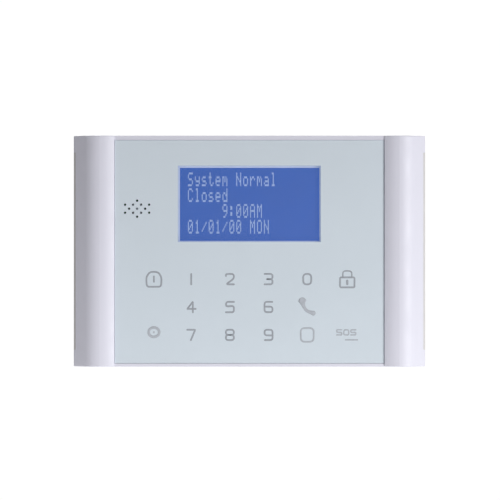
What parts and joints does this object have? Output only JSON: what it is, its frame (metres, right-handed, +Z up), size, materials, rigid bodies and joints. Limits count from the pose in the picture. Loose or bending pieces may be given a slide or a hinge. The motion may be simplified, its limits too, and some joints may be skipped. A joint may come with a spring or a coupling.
{
  "type": "alarm keypad panel",
  "caption": "Wall-mounted alarm keypad: frosted touch panel with a blue dot-matrix display between two rounded white side rails, on a hooked wall bracket.",
  "frame": {"origin": "centre of the wall bracket's back face, on the wall plane", "axes": "+X to the right seen from the front, +Y into the wall, +Z up; the front faces -Y"},
  "size_m": [0.18, 0.028, 0.118],
  "materials": {
    "housing_white": "fine satin white plastic with a faint lavender cast",
    "trim_silver": "satin silver paint",
    "panel_acrylic": "clear acrylic, etched front",
    "film_print": "pale blue-grey screen print",
    "tape_black": "foam adhesive tape",
    "board_green": "solder-masked circuit board",
    "spring_steel": "plated spring wire",
    "led_white": "moulded LED",
    "chip_black": "moulded package",
    "steel_plain": "bright rolled steel",
    "display_blue": "blue display cell",
    "light_guide": "clear light guide",
    "rubber_black": "soft moulded rubber",
    "screw_zinc": "bright zinc plate",
    "socket_black": "moulded connector plastic",
    "socket_white": "moulded connector plastic",
    "terminal_green": "moulded connector plastic",
    "relay_blue": "moulded case",
    "core_tan": "coil former and tape",
    "contact_gold": "gold flash",
    "shield_tin": "tinned shield",
    "antenna_amber": "flexible circuit",
    "card_white": "card plastic",
    "pouch_silver": "laminated pouch foil",
    "wire_red_black": "insulated wire",
    "magnet_dark": "plated magnet cup",
    "cone_film": "polyester diaphragm",
    "bracket_steel": "zinc-grey painted steel",
    "knob_black": "moulded knob"
  },
  "bodies": {
    "bracket": {"wall_bracket": "bracket_steel"},
    "panel": {"front_housing": "housing_white", "rear_housing": "housing_white", "side_trim_left": "trim_silver", "side_trim_right": "trim_silver", "touch_panel": "panel_acrylic", "panel_film": "film_print", "panel_tape": "tape_black", "touch_board": "board_green", "touch_springs": "spring_steel", "key_leds": "led_white", "touch_chip": "chip_black", "touch_board_screws": "screw_zinc", "display_bezel": "steel_plain", "display_glass": "display_blue", "display_backlight": "light_guide", "display_board": "board_green", "microphone": "steel_plain", "mic_boot": "rubber_black", "main_board": "board_green", "board_screws": "screw_zinc", "link_header": "socket_black", "link_socket": "socket_black", "main_chip": "chip_black", "board_chips": "chip_black", "capacitors": "cone_film", "relay": "relay_blue", "line_transformer": "core_tan", "clock_cell": "steel_plain", "clock_cell_holder": "socket_black", "gsm_board": "board_green", "gsm_shield": "shield_tin", "gsm_antenna": "antenna_amber", "radio_module": "board_green", "dc_jack": "socket_black", "dc_jack_pin": "screw_zinc", "phone_sockets": "socket_white", "phone_contacts": "contact_gold", "siren_jack": "socket_black", "terminal_block": "terminal_green", "terminal_screws": "screw_zinc", "sim_socket": "shield_tin", "power_switch": "socket_black", "learn_button": "socket_black", "tamper_switch": "socket_black", "battery_cells": "pouch_silver", "battery_tape": "rubber_black", "battery_socket": "socket_white", "battery_plug": "socket_white", "battery_leads": "wire_red_black", "speaker_frame": "steel_plain", "speaker_cone": "cone_film", "speaker_magnet": "magnet_dark", "speaker_gasket": "rubber_black", "speaker_leads": "wire_red_black", "case_screws": "screw_zinc"},
    "plunger": {"tamper_plunger": "socket_white"},
    "power_knob": {"power_switch_knob": "knob_black"},
    "learn_cap": {"learn_button_cap": "knob_black"},
    "card": {"sim_card": "card_white"}
  },
  "joints": [
    {"name": "panel_lift", "type": "slide", "parent": "bracket", "child": "panel", "axis": [0, 0, 1], "range_m": [0, 0.008]},
    {"name": "tamper_press", "type": "slide", "parent": "panel", "child": "plunger", "axis": [0, 1, 0], "range_m": [0, 0.0012]},
    {"name": "power_slide", "type": "slide", "parent": "panel", "child": "power_knob", "axis": [1, 0, 0], "range_m": [0, 0.003]},
    {"name": "learn_press", "type": "slide", "parent": "panel", "child": "learn_cap", "axis": [0, 0, 1], "range_m": [0, 0.0008], "stiffness_N_per_m": 300},
    {"name": "card_slide", "type": "slide", "parent": "panel", "child": "card", "axis": [0, 0, -1], "range_m": [0, 0.014]}
  ],
  "couplings": [
    {"joint": "tamper_press", "follows": "panel_lift", "ratio": 0.15}
  ]
}
